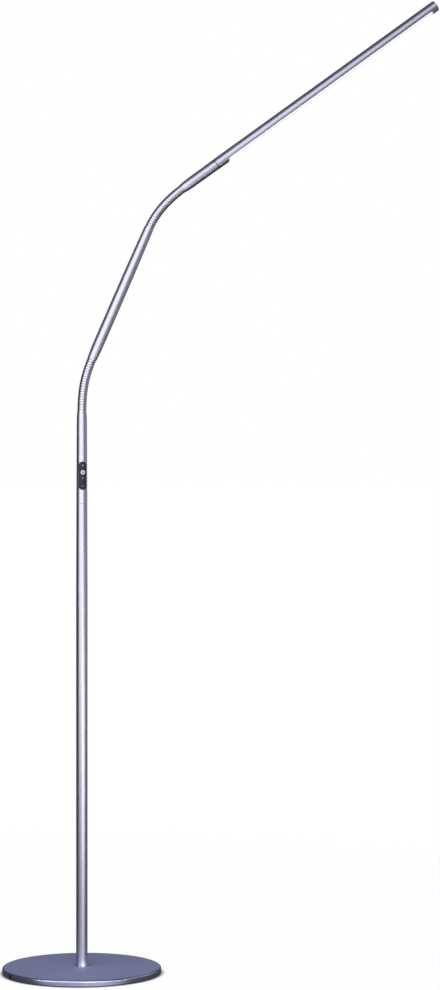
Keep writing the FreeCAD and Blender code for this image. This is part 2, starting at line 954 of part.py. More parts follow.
def necks():
    """Both goosenecks with their end fittings."""
    neck_foot("lower_neck_foot", Placement(LOWER_HINGES[0], heading_turn(90)))
    neck("lower_neck", LOWER_HINGES, LOWER_HEADINGS)
    neck_cap("lower_neck_cap", MID_FRAME)
    neck_foot("upper_neck_foot", Placement(MID_END, heading_turn(MID_HEADING)))
    neck("upper_neck", UPPER_HINGES, UPPER_HEADINGS)
    neck_cap("upper_neck_cap", FERRULE_FRAME)


def tangent_round(run, rise):
    """The radius of an arc that starts along an edge and swings aside by a rise over a run."""
    return (run * run + rise * rise) / (2 * rise)


def mid_tube():
    """The tube between the necks, full in its lower half and tapered towards both mouths."""
    start = MOUTH_SETBACK
    end = cell("mid_span") - MOUTH_SETBACK
    mouth = half("mid_foot_diameter")
    top = half("mid_top_diameter")
    full = half("mid_diameter")
    shoulder = cell("mid_shoulder")
    taper = cell("mid_taper_start")
    bore = half("mid_bore")
    sleeve = half("mouth_bore")
    step = cell("bore_step")
    turned_part("mid_tube", [
        (sleeve, start),
        (mouth, start),
        (full, shoulder, tangent_round(shoulder - start, full - mouth)),
        (full, taper),
        (top, end, tangent_round(end - taper, full - top)),
        (sleeve, end),
        (sleeve, end - cell("plug_length") - step),
        (bore, end - cell("plug_length") - 2 * step),
        (bore, start + cell("plug_length") + 2 * step),
        (sleeve, start + cell("plug_length") + step),
    ], MID_FRAME)


# Ferrule and swivel

def head_ferrule():
    """The tapered tube above the upper neck, open at the swivel."""
    start = MOUTH_SETBACK
    end = cell("ferrule_span") - half("swivel_gap")
    shoulder = cell("ferrule_shoulder")
    mouth = half("ferrule_foot_diameter")
    swell = half("ferrule_shoulder_diameter") - mouth
    bore = half("ferrule_bore")
    sleeve = half("mouth_bore")
    step = cell("bore_step")
    turned_part("head_ferrule", [
        (sleeve, start),
        (mouth, start),
        (mouth + swell, shoulder, tangent_round(shoulder - start, swell)),
        (half("ferrule_end_diameter"), end),
        (bore, end),
        (bore, start + cell("plug_length") + 2 * step),
        (sleeve, start + cell("plug_length") + step),
    ], FERRULE_FRAME)


def swivel():
    """The hollow shaft fixed in the ferrule, its clip, and the washer that fills the seam."""
    gap = half("swivel_gap")
    shaft = half("swivel_diameter")
    bore = half("swivel_bore")
    flange = half("ferrule_bore") - PLUG_GAP
    reach = cell("swivel_reach")
    groove = half("swivel_groove_diameter")
    clip_floor = gap + cell("head_plug_length") + cell("clip_gap")
    clip_top = clip_floor + cell("clip_thickness")
    turned_part("swivel_shaft", [
        (bore, -gap - cell("swivel_flange_length")),
        (flange, -gap - cell("swivel_flange_length")),
        (flange, -gap),
        (shaft, -gap),
        (shaft, clip_floor - PLUG_GAP),
        (groove, clip_floor - PLUG_GAP),
        (groove, clip_top + PLUG_GAP),
        (shaft, clip_top + PLUG_GAP),
        (shaft, reach),
        (bore, reach),
    ], HEAD_FRAME)
    turned_part("swivel_clip", rectangle(
        groove + PLUG_GAP, clip_floor, half("clip_diameter"), clip_top
    ), HEAD_FRAME)
    play = cell("washer_gap")
    turned_part("swivel_washer", rectangle(
        shaft + play, -gap + play, half("swivel_washer_diameter"), gap - play
    ), HEAD_FRAME)


# Head. Its own +Z runs out along the bar and its own +X points down, out of the lit side.

def window_edges(near, far, lip, flat):
    """The side view of the window in the head, whose corners are rounded out and then in."""
    skin = half("head_diameter")
    outside = skin + lip
    corner = skin - lip
    sweep = corner - flat
    return [
        (outside, near - lip),
        (skin, near - lip),
        (corner, near, lip),
        (flat, near + sweep, -sweep),
        (flat, far - sweep),
        (corner, far, -sweep),
        (skin, far + lip, lip),
        (outside, far + lip),
    ]


def head_tube():
    """The round tube of the head, cut away below to let the light out."""
    gap = half("swivel_gap")
    body = new_body("head_tube")
    sketch = new_sketch(body, "XY_Plane")
    ring_outline(sketch, half("head_diameter"))
    ring_outline(sketch, half("head_bore"))
    pad(body, sketch, cell("head_length") - cell("cap_thickness") - gap)
    side = new_sketch(body, "XZ_Plane")
    near = cell("window_start") - gap
    far = cell("head_length") - cell("window_end") - gap
    outline(side, window_edges(near, far, cell("window_lip_round"), cell("head_flat")))
    pocket(body, side, cell("head_diameter"), symmetric=True)
    keep("head_tube", body, HEAD_FRAME * Placement(Vector(0, 0, gap.number), Rotation()))


def head_ends():
    """The bushed plug at the swivel end and the cap at the tip."""
    gap = half("swivel_gap")
    plug = half("head_bore") - PLUG_GAP
    turned_part("head_end_plug", rectangle(
        half("swivel_diameter") + cell("swivel_clearance"),
        gap,
        plug,
        gap + cell("head_plug_length"),
    ), HEAD_FRAME)
    tip = cell("head_length")
    face = tip - cell("cap_thickness")
    edge = cell("cap_round")
    radius = half("head_diameter")
    turned_part("tip_cap", [
        (0, face - cell("cap_spigot")),
        (plug, face - cell("cap_spigot")),
        (plug, face),
        (radius, face),
        (radius, tip - edge),
        (radius - edge, tip, edge),
        (0, tip),
    ], HEAD_FRAME)


def diffuser():
    """The milky cover: a shallow arch with two tongues that clip inside the tube."""
    body = new_body("diffuser")
    section = new_sketch(body, "XY_Plane")
    side = half("diffuser_width")
    rim = cell("head_flat") + cell("diffuser_rim")
    crown = cell("diffuser_depth")
    tongue_out = cell("tongue_offset")
    tongue_in = tongue_out - cell("tongue_thickness")
    tongue_top = cell("tongue_top")
    inner_rim = rim + cell("diffuser_rim")
    inner_crown = crown - cell("diffuser_wall")
    outer_round = tangent_round(side, crown - rim)
    inner_round = tangent_round(tongue_in, inner_crown - inner_rim)
    outline(section, [
        (rim, -side),
        (crown, 0, outer_round),
        (rim, side, outer_round),
        (rim, tongue_out),
        (tongue_top, tongue_out),
        (tongue_top, tongue_in),
        (inner_rim, tongue_in),
        (inner_crown, 0, -inner_round),
        (inner_rim, -tongue_in, -inner_round),
        (tongue_top, -tongue_in),
        (tongue_top, -tongue_out),
        (rim, -tongue_out),
    ])
    pad(body, section, cell("head_length"))
    gap = cell("diffuser_gap")
    skin = half("head_diameter")
    corner = skin - cell("window_lip_round")
    sweep = corner - cell("head_flat")
    length = cell("head_length")
    window_ends = (
        (1, as_size(0), cell("window_start")),
        (-1, length, length - cell("window_end")),
    )
    for inward, outside, edge in window_ends:
        ends = new_sketch(body, "XZ_Plane")
        outline(ends, [
            (0, outside),
            (skin, outside),
            (skin, edge + inward * gap),
            (corner, edge + inward * gap),
            (corner - sweep + gap, edge + inward * sweep, inward * (gap - sweep)),
            (0, edge + inward * sweep),
        ])
        pocket(body, ends, cell("head_diameter"), symmetric=True)
    keep("diffuser", body, HEAD_FRAME)


def bar(name, low, thickness, width, start, end):
    """A flat bar inside the head, given by how far its upper face lies below the bar's axis."""
    body = new_body(name)
    sketch = new_sketch(body, "XY_Plane")
    outline(sketch, rectangle(low, -width / 2, low + thickness, width / 2))
    pad(body, sketch, end - start)
    shift = Placement(Vector(0, 0, as_size(start).number), Rotation())
    return keep(name, body, HEAD_FRAME * shift)


def light_engine():
    """The tray, the light board under it and the row of light chips."""
    tray_low = -cell("tray_top")
    board_low = tray_low + cell("tray_thickness")
    start = cell("light_board_start")
    end = cell("head_length") - cell("light_board_end")
    bar("light_tray", tray_low, cell("tray_thickness"), cell("tray_width"), start, end)
    bar("light_board", board_low, cell("light_board_thickness"), cell("light_board_width"),
        start, end)
    chip_low = board_low + cell("light_board_thickness")
    chips = []
    for number in range(CHIPS):
        chip = document.addObject("Part::Box", "light_chip")
        bind(chip, Length=cell("chip_height"), Width=cell("chip_width"),
             Height=cell("chip_length"))
        middle = cell("chip_first") + number * cell("chip_pitch")
        corner = Vector(
            chip_low.number,
            -half("chip_width").number,
            (middle - half("chip_length")).number,
        )
        chip.Placement = HEAD_FRAME * Placement(corner, Rotation())
        chips.append(chip)
    group("light_chips", chips)


# Leads inside the tubes: straight runs joined by tangent arcs

def lead_wire(points, radii):
    """Lines through the points, with an arc of the given radius at each inner point."""
    edges = []
    start = points[0]
    for number in range(1, len(points) - 1):
        corner = points[number]
        into = (corner - points[number - 1]).normalize()
        out = (points[number + 1] - corner).normalize()
        turn_angle = into.getAngle(out)
        reach = radii[number - 1] * math.tan(turn_angle / 2)
        before = corner - into * reach
        after = corner + out * reach
        to_centre = (out - into).normalize()
        centre = corner + to_centre * (radii[number - 1] / math.cos(turn_angle / 2))
        middle = centre - to_centre * radii[number - 1]
        edges.append(Part.LineSegment(start, before).toShape())
        edges.append(Part.Arc(before, middle, after).toShape())
        start = after
    edges.append(Part.LineSegment(start, points[-1]).toShape())
    return Part.Wire(edges)


def lead(name, points, radii):
    """A round lead along a route, with its volume tested against its section and length."""
    wire = lead_wire(points, radii)
    radius = SIZES["lead_diameter"] / 2
    direction = points[1] - points[0]
    section = Part.Wire(Part.Circle(points[0], direction, radius).toShape())
    solid = wire.makePipeShell([section], True, False)
    expected = math.pi * radius**2 * wire.Length
    if abs(solid.Volume / expected - 1) > 0.01:
        raise RuntimeError(f"{name} has the wrong volume")
    print(f"{name}: {wire.Length:.1f} mm long, least radius {min(radii, default=0):.1f} mm")
    thing = document.addObject("Part::Feature", f"{name}_pipe")
    thing.Shape = solid
    keep(name, thing)


def run_radius(points):
    """The largest radius at each inner point that leaves both runs beside it a straight stretch."""
    radii = []
    for before, corner, after in zip(points, points[1:], points[2:]):
        shorter = min((corner - before).Length, (after - corner).Length)
        angle = (corner - before).getAngle(after - corner)
        radii.append(0.45 * shorter / math.tan(angle / 2))
    return radii


def bend_points(hinges):
    """The points where a neck bends at rest."""
    return [hinges[number] for number in range(0, VERTEBRAE + 1, 2)]


def supply_lead():
    """From the socket along the base's channel, up the pole and on to the control board."""
    low = SIZES["pad_thickness"] + SIZES["lead_floor_gap"]
    offset = -SIZES["lead_offset"]
    back = JACK_BACK.number - 0.05
    top = SIZES["panel_height"] - SIZES["board_length"] / 2 + 8
    points = [
        TOWARDS_JACK.multVec(Vector(back, 0, low)),
        TOWARDS_JACK.multVec(Vector(offset, 0, low)),
        TOWARDS_JACK.multVec(Vector(offset, 0, top)),
    ]
    lead("supply_lead", points, [SIZES["lead_turn"]])


def lower_lead():
    """From the control board up through the lower neck into the tube above it."""
    side = TOWARDS_JACK.multVec(Vector(-SIZES["lead_offset"], 0, 0))
    start = SIZES["panel_height"] + SIZES["board_length"] / 2 - 9
    neck_floor = SIZES["neck_height"] - 22
    end = along(MID_START, MID_HEADING, 21)
    points = [
        side + Vector(0, 0, start),
        side + Vector(0, 0, neck_floor - 30),
        Vector(0, 0, neck_floor),
    ] + bend_points(LOWER_HINGES) + [end]
    lead("lower_lead", points, run_radius(points))


def upper_lead():
    """Through the tube between the necks and the upper neck into the ferrule."""
    start = along(MID_START, MID_HEADING, 21.05)
    points = [start] + bend_points(UPPER_HINGES) + [along(FERRULE_START, HEAD_HEADING, 30)]
    lead("upper_lead", points, run_radius(points))


def head_lead():
    """Through the swivel's bore to the underside of the light board."""
    start = 30.05 - SIZES["ferrule_span"]
    below_board = 1.8
    local = [
        Vector(0, 0, start),
        Vector(0, 0, 10.5),
        Vector(below_board, 0, 15.5),
        Vector(below_board, 0, 23),
    ]
    points = [HEAD_FRAME.multVec(point) for point in local]
    lead("head_lead", points, run_radius(points))


base()
power_jack()
pole_fixing()
lower_pole()
pole_joiner()
control_tube()
control_bezel()
keys()
control_board()
necks()
mid_tube()
head_ferrule()
swivel()
head_tube()
head_ends()
diffuser()
light_engine()
supply_lead()
lower_lead()
upper_lead()
head_lead()

document.recompute()
for thing in document.Objects:
    if "Invalid" in thing.State or "Error" in thing.State:
        raise RuntimeError(f"{thing.Name} failed: {thing.State}")
os.makedirs("parts", exist_ok=True)
for name, thing in nodes.items():
    shape = thing.Shape
    if shape.isNull() or not shape.isValid() or not shape.Solids:
        raise RuntimeError(f"{name} has no valid solid")
    shape.exportStep(f"parts/{name}.step")
print(len(nodes), "sub-parts")
for label, hinges, headings in (
    ("lower", LOWER_HINGES, LOWER_HEADINGS),
    ("upper", UPPER_HINGES, UPPER_HEADINGS),
):
    for hinge, heading in zip(hinges, headings):
        print(label, [round(value, 3) for value in hinge], round(heading, 3))
print("head", [round(value, 3) for value in HEAD_START], round(HEAD_HEADING, 3))
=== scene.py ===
import json
import math

import bpy
import numpy as np
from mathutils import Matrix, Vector

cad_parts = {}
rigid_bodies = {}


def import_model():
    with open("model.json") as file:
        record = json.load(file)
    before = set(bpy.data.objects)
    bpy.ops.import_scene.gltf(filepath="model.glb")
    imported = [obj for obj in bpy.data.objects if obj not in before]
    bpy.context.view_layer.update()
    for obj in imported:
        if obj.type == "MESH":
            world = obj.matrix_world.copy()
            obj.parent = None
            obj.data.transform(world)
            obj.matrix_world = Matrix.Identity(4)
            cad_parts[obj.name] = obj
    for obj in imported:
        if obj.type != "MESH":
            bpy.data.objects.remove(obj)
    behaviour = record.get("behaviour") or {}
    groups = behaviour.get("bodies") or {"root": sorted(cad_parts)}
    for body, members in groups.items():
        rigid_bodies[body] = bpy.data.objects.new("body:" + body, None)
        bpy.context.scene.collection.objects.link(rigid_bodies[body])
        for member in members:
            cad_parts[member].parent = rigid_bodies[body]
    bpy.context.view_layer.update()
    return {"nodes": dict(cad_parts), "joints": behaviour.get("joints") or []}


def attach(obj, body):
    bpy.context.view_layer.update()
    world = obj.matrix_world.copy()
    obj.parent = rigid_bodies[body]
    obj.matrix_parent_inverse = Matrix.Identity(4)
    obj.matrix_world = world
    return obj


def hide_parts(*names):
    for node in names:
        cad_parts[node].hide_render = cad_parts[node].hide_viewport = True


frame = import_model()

# Camera. The photograph is taken level, from about half the lamp's height and about eleven degrees
# round from the arm's plane. It looks past the pole to the middle of the arm, and the frame is
# lowered a little so that both the foot and the head are in it.
PHOTO_HEIGHT = 990
FOCAL_PIXELS = 2867.7
FRAME_DROP_PIXELS = 44.2
CAMERA_TURN = math.radians(13.334)
CAMERA_DISTANCE = 4.1303
CAMERA_ASIDE = 0.1990
CAMERA_HEIGHT = 0.7517

camera_data = bpy.data.cameras.new("photo_camera")
camera_data.sensor_width = 36
camera_data.lens = FOCAL_PIXELS * camera_data.sensor_width / PHOTO_HEIGHT
camera_data.shift_y = -FRAME_DROP_PIXELS / PHOTO_HEIGHT
camera = bpy.data.objects.new("photo_camera", camera_data)
bpy.context.scene.collection.objects.link(camera)
camera_away = Vector((math.sin(CAMERA_TURN), math.cos(CAMERA_TURN), 0))
camera_right = Vector((math.cos(CAMERA_TURN), -math.sin(CAMERA_TURN), 0))
camera.location = (camera_away * -CAMERA_DISTANCE + camera_right * CAMERA_ASIDE
                   + Vector((0, 0, CAMERA_HEIGHT)))
camera.rotation_euler = camera_away.to_track_quat("-Z", "Y").to_euler()
bpy.context.scene.camera = camera
bpy.context.scene.view_settings.view_transform = "Standard"


# Studio. Two wide soft boxes stand in front of the lamp, with a strip at the left, a low one for
# the base and a weak wall of light at the right, all placed from a viewer who faces the pole. The
# room is a dim blue grey, which gives the metal its dark edges. Floor and backdrop are white to the
# camera. Close to the base the floor's white is darkened into a painted contact shadow, and a
# painted pool of light in front of the base, which only reflections see, shows in its rim.
ARM_TURN = math.radians(11)
VIEW_AWAY = Vector((math.sin(ARM_TURN), math.cos(ARM_TURN), 0))
VIEW_RIGHT = Vector((math.cos(ARM_TURN), -math.sin(ARM_TURN), 0))
ROOM_COLOR = (0.70, 0.78, 1.0, 1)
ROOM_GLOW = 0.113
WHITE = (1, 1, 1, 1)
MIRRORED_BACKDROP = (math.cos(math.radians(14)), math.cos(math.radians(6)))
FLOOR_RADIUS = 60.0
FLOOR_SHADE = (0.12, 0.12, 0.125, 1)
SHADED_REACH = (0.3, 2.5)
SHADED_WHITE = 0.94
# Painted contact shadow: how far from the base, and how strongly, the floor's white is darkened.
CONTACT_SHADOW_REACH = 0.007
CONTACT_SHADOW_POWER = 2.0
# Painted reflections on the floor, which only glossy and transmission rays see: a faint sheen, and
# a pool of light in front of the base that shows in its rim.
SHEEN = 0.05
POOL_START = (0.100, 0.125)
POOL_END = (0.22, 0.30)
POOL_GLOW = 0.36


def put(tree, kind, inputs=None, **settings):
    """Adds a node, sets its properties, and fills or links its inputs."""
    made = tree.nodes.new(kind)
    for name, value in settings.items():
        setattr(made, name, value)
    for key, value in (inputs or {}).items():
        if isinstance(value, bpy.types.NodeSocket):
            tree.links.new(value, made.inputs[key])
        else:
            made.inputs[key].default_value = value
    return made


def soft_box(name, heading, distance, bottom, top, width, glow):
    """An upright rectangular white light that faces the pole and is as bright as glow when it is
    seen in a mirror. Heading 0 is on the camera's side and turns to the camera's right."""
    data = bpy.data.lights.new(name, "AREA")
    data.shape = "RECTANGLE"
    data.size, data.size_y = width, top - bottom
    data.energy = glow * math.pi * width * (top - bottom)
    light = bpy.data.objects.new(name, data)
    bpy.context.scene.collection.objects.link(light)
    turn = math.radians(heading)
    outwards = VIEW_AWAY * -math.cos(turn) + VIEW_RIGHT * math.sin(turn)
    light.location = outwards * distance + Vector((0, 0, (top + bottom) / 2))
    light.rotation_euler = (-outwards).to_track_quat("-Z", "Y").to_euler()
    light.visible_camera = False


soft_box("front_wide", heading=0, distance=1.6, bottom=0.0, top=3.3, width=2.685, glow=0.88)
soft_box("front_left", heading=-20, distance=1.6, bottom=0.3, top=3.3, width=2.685, glow=0.74)
soft_box("left_strip", heading=-50, distance=1.6, bottom=0.0, top=2.6, width=0.564, glow=0.79)
soft_box("right_foot", heading=32, distance=1.6, bottom=0.0, top=0.3, width=2.0, glow=2.90)
soft_box("right_wall", heading=100, distance=3.0, bottom=0.0, top=3.0, width=4.0, glow=0.31)

world = bpy.data.worlds.new("room")
bpy.context.scene.world = world
world.use_nodes = True
room = world.node_tree
room.nodes.clear()
seen = put(room, "ShaderNodeLightPath")
mirrored = put(room, "ShaderNodeMath", {0: seen.outputs["Is Glossy Ray"],
                                        1: seen.outputs["Is Transmission Ray"]},
               operation="MAXIMUM")
towards = put(room, "ShaderNodeTexCoord")
facing = put(room, "ShaderNodeVectorMath",
             {0: towards.outputs["Generated"], 1: tuple(VIEW_AWAY)}, operation="DOT_PRODUCT")
behind = put(room, "ShaderNodeMapRange",
             {0: facing.outputs["Value"], 1: MIRRORED_BACKDROP[0], 2: MIRRORED_BACKDROP[1]})
backdrop = put(room, "ShaderNodeMath", {0: mirrored.outputs[0], 1: behind.outputs[0]},
               operation="MULTIPLY")
pale = put(room, "ShaderNodeMath", {0: seen.outputs["Is Camera Ray"], 1: backdrop.outputs[0]},
           operation="MAXIMUM")
dim = put(room, "ShaderNodeBackground", {"Color": ROOM_COLOR, "Strength": ROOM_GLOW})
white = put(room, "ShaderNodeBackground", {"Color": WHITE, "Strength": 1.0})
either = put(room, "ShaderNodeMixShader", {0: pale.outputs[0], 1: dim.outputs[0],
                                           2: white.outputs[0]})
put(room, "ShaderNodeOutputWorld", {"Surface": either.outputs[0]})


def floor_disc(radius, steps):
    """A flat disc on the floor: x = r cos a, y = r sin a."""
    angle = np.linspace(0, 2 * np.pi, steps, endpoint=False)
    points = np.stack([radius * np.cos(angle), radius * np.sin(angle), 0 * angle], 1)
    mesh = bpy.data.meshes.new("floor")
    mesh.from_pydata(points.tolist(), [], [list(range(steps))])
    disc = bpy.data.objects.new("floor", mesh)
    bpy.context.scene.collection.objects.link(disc)
    return disc


floor = floor_disc(FLOOR_RADIUS, 96)
floor_paint = bpy.data.materials.new("pale_floor")
floor_paint.use_nodes = True
tree = floor_paint.node_tree
tree.nodes.clear()
seen = put(tree, "ShaderNodeLightPath")
mirrored = put(tree, "ShaderNodeMath", {0: seen.outputs["Is Glossy Ray"],
                                        1: seen.outputs["Is Transmission Ray"]},
               operation="MAXIMUM")
place = put(tree, "ShaderNodeTexCoord")
away = put(tree, "ShaderNodeVectorMath", {0: place.outputs["Object"]}, operation="LENGTH")
# Painted sheen: a faint glow that only reflections see, stronger at grazing angles, as if the floor
# were glossy.
grazing_fresnel = put(tree, "ShaderNodeFresnel", {"IOR": 1.5})
sheen = put(tree, "ShaderNodeMath", {0: grazing_fresnel.outputs[0], 1: SHEEN}, operation="MULTIPLY")
near = put(tree, "ShaderNodeMapRange", {0: away.outputs["Value"], 1: SHADED_REACH[0],
                                        2: SHADED_REACH[1], 3: SHADED_WHITE, 4: 1.0})
# Painted contact shadow: the white that the camera sees is darkened by ambient occlusion close to
# the base and under it.
open_to_room = put(tree, "ShaderNodeAmbientOcclusion", {"Distance": CONTACT_SHADOW_REACH})
contact = put(tree, "ShaderNodeMath", {0: open_to_room.outputs["AO"], 1: CONTACT_SHADOW_POWER},
              operation="POWER")
bright = put(tree, "ShaderNodeMath", {0: near.outputs[0], 1: contact.outputs[0]},
             operation="MULTIPLY")
lift = put(tree, "ShaderNodeMath", {0: seen.outputs["Is Camera Ray"], 1: bright.outputs[0]},
           operation="MULTIPLY")
# Painted pool of light: a glow on the floor in front of the base, which only reflections see. The
# painted contact shadow fades it at the base.
forward = put(tree, "ShaderNodeVectorMath", {0: place.outputs["Object"], 1: tuple(-VIEW_AWAY)},
              operation="DOT_PRODUCT")
pool_start = put(tree, "ShaderNodeMapRange", {0: forward.outputs["Value"], 1: POOL_START[0],
                                              2: POOL_START[1]})
pool_end = put(tree, "ShaderNodeMapRange", {0: away.outputs["Value"], 1: POOL_END[0],
                                            2: POOL_END[1], 3: POOL_GLOW, 4: 0.0})
pool = put(tree, "ShaderNodeMath", {0: pool_start.outputs[0], 1: pool_end.outputs[0]},
           operation="MULTIPLY")
pool_edge = put(tree, "ShaderNodeMath", {0: pool.outputs[0], 1: contact.outputs[0]},
                operation="MULTIPLY")
lit = put(tree, "ShaderNodeMath", {0: sheen.outputs[0], 1: pool_edge.outputs[0]}, operation="ADD")
shown = put(tree, "ShaderNodeMath", {0: mirrored.outputs[0], 1: lit.outputs[0]},
            operation="MULTIPLY")
strength = put(tree, "ShaderNodeMath", {0: lift.outputs[0], 1: shown.outputs[0]},
               operation="MAXIMUM")
matte = put(tree, "ShaderNodeBsdfDiffuse", {"Color": FLOOR_SHADE})
glow = put(tree, "ShaderNodeEmission", {"Color": WHITE, "Strength": strength.outputs[0]})
both = put(tree, "ShaderNodeAddShader", {0: matte.outputs[0], 1: glow.outputs[0]})
put(tree, "ShaderNodeOutputMaterial", {"Surface": both.outputs[0]})
floor.data.materials.append(floor_paint)


# Base. A flame-cut steel disc with a turned, rounded rim, plated in satin nickel with a faint
# blue cast. It weighs the lamp down and stands on a thin foam rubber pad that hides its fixings.
NICKEL = (0.58, 0.582, 0.70)
BASE_NICKEL = (0.585, 0.59, 0.88)
RIM_STARTS = 0.1118
RIM_IS_FULL = 0.1132
TOP_ROUGHNESS = 0.72
RIM_ROUGHNESS = 0.26


def paint(names, material):
    """Puts a material on CAD nodes."""
    for name in names:
        for slot in frame["nodes"][name].material_slots:
            slot.material = material


def new_material(name, **plain):
    """A material with its shader's plain values set. Returns it, its nodes and its shader."""
    material = bpy.data.materials.new(name)
    material.use_nodes = True
    tree = material.node_tree
    shader = tree.nodes["Principled BSDF"]
    for key, value in plain.items():
        shader.inputs[key.replace("_", " ")].default_value = value
    return material, tree, shader


def new_group(name, inputs, outputs):
    """An empty group of nodes with named inputs and outputs."""
    group = bpy.data.node_groups.new(name, "ShaderNodeTree")
    for key, (kind, value) in inputs.items():
        socket = group.interface.new_socket(key, in_out="INPUT", socket_type=kind)
        if value is not None:
            socket.default_value = value
    for key, kind in outputs.items():
        group.interface.new_socket(key, in_out="OUTPUT", socket_type=kind)
    return group, put(group, "NodeGroupInput"), put(group, "NodeGroupOutput")


def satin_group():
    """Satin metal: a fine blasted grain, drawn lines along Z, and broad soft smudges."""
    group, given, gives = new_group(
        "satin_grain",
        {
            "Vector": ("NodeSocketVector", None),
            "Tint": ("NodeSocketColor", (0.7, 0.7, 0.8, 1)),
            "Grain Size": ("NodeSocketFloat", 900.0),
            "Draw": ("NodeSocketFloat", 0.3),
            "Roughness": ("NodeSocketFloat", 0.35),
            "Smudge": ("NodeSocketFloat", 0.04),
        },
        {"Color": "NodeSocketColor", "Roughness": "NodeSocketFloat", "Height": "NodeSocketFloat"},
    )
    grain = put(group, "ShaderNodeTexNoise",
                {"Vector": given.outputs["Vector"], "Scale": given.outputs["Grain Size"],
                 "Detail": 2.0})
    along = put(group, "ShaderNodeVectorMath",
                {0: given.outputs["Vector"], 1: (1.0, 1.0, 0.012)}, operation="MULTIPLY")
    lines = put(group, "ShaderNodeTexNoise",
                {"Vector": along.outputs[0], "Scale": 2600.0, "Detail": 3.0})
    smudge = put(group, "ShaderNodeTexNoise",
                 {"Vector": given.outputs["Vector"], "Scale": 14.0, "Detail": 3.0})
    blend = put(group, "ShaderNodeMix",
                {0: given.outputs["Draw"], 2: grain.outputs[0], 3: lines.outputs[0]})
    tone = put(group, "ShaderNodeMapRange",
               {0: blend.outputs[0], 1: 0.3, 2: 0.7, 3: 0.985, 4: 1.012})
    color = put(group, "ShaderNodeVectorMath",
                {0: given.outputs["Tint"], 1: tone.outputs[0]}, operation="MULTIPLY")
    centred = put(group, "ShaderNodeMath", {0: smudge.outputs[0], 1: 0.5}, operation="SUBTRACT")
    swing = put(group, "ShaderNodeMath",
                {0: centred.outputs[0], 1: given.outputs["Smudge"]}, operation="MULTIPLY")
    rough = put(group, "ShaderNodeMath",
                {0: given.outputs["Roughness"], 1: swing.outputs[0]}, operation="ADD")
    group.links.new(color.outputs[0], gives.inputs["Color"])
    group.links.new(rough.outputs[0], gives.inputs["Roughness"])
    group.links.new(blend.outputs[0], gives.inputs["Height"])
    return group


SATIN = satin_group()


def satin_metal(name, tint, roughness=0.36, grain=900.0, draw=0.3, lean=0.0, bump=0.006):
    """Satin plated metal whose drawn lines run along an axis that leans from +Z towards +X."""
    material, tree, shader = new_material(name, Metallic=1.0)
    place = put(tree, "ShaderNodeTexCoord")
    turn = put(tree, "ShaderNodeMapping",
               {"Vector": place.outputs["Object"], "Rotation": (0, -math.radians(lean), 0)})
    satin = put(tree, "ShaderNodeGroup",
                {"Vector": turn.outputs[0], "Tint": (*tint, 1), "Grain Size": grain,
                 "Draw": draw, "Roughness": roughness}, node_tree=SATIN)
    satin.name = "satin"
    relief = put(tree, "ShaderNodeBump",
                 {"Height": satin.outputs["Height"], "Strength": bump, "Distance": 0.0002})
    tree.links.new(satin.outputs["Color"], shader.inputs["Base Color"])
    tree.links.new(satin.outputs["Roughness"], shader.inputs["Roughness"])
    tree.links.new(relief.outputs[0], shader.inputs["Normal"])
    return material


satin_base = satin_metal("satin_base", BASE_NICKEL, TOP_ROUGHNESS, grain=1100, draw=0.0)
tree = satin_base.node_tree
place = put(tree, "ShaderNodeTexCoord")
level = put(tree, "ShaderNodeVectorMath", {0: place.outputs["Object"], 1: (1, 1, 0)},
            operation="MULTIPLY")
reach = put(tree, "ShaderNodeVectorMath", {0: level.outputs[0]}, operation="LENGTH")
finish = put(tree, "ShaderNodeMapRange",
             {0: reach.outputs["Value"], 1: RIM_STARTS, 2: RIM_IS_FULL, 3: TOP_ROUGHNESS,
              4: RIM_ROUGHNESS})
tree.links.new(finish.outputs[0], tree.nodes["satin"].inputs["Roughness"])
paint(["base_plate"], satin_base)

foam, tree, shader = new_material("foam_rubber", Roughness=0.9)
place = put(tree, "ShaderNodeTexCoord")
cells = put(tree, "ShaderNodeTexVoronoi", {"Vector": place.outputs["Object"], "Scale": 900.0})
shade = put(tree, "ShaderNodeMapRange", {0: cells.outputs[0], 1: 0.0, 2: 0.6, 3: 0.02, 4: 0.045})
relief = put(tree, "ShaderNodeBump",
             {"Height": cells.outputs[0], "Strength": 0.4, "Distance": 0.0003})
tree.links.new(shade.outputs[0], shader.inputs["Base Color"])
tree.links.new(relief.outputs[0], shader.inputs["Normal"])
paint(["base_pad"], foam)

# Fixings under the plate: a turned steel stem pressed into the pole, its washer and its nut, in
# plain zinc steel. The sleeve inside the pole's seam and the plug in the head are bare aluminium.
zinc_steel = satin_metal("zinc_steel", (0.60, 0.60, 0.58), 0.30, grain=1600, draw=0.6)
paint(["pole_stem", "stem_washer", "stem_nut", "board_screws", "swivel_clip"], zinc_steel)
bare_aluminium = satin_metal("bare_aluminium", (0.78, 0.78, 0.78), 0.40, grain=1500, draw=0.7)
paint(["pole_joiner", "head_end_plug", "light_tray"], bare_aluminium)


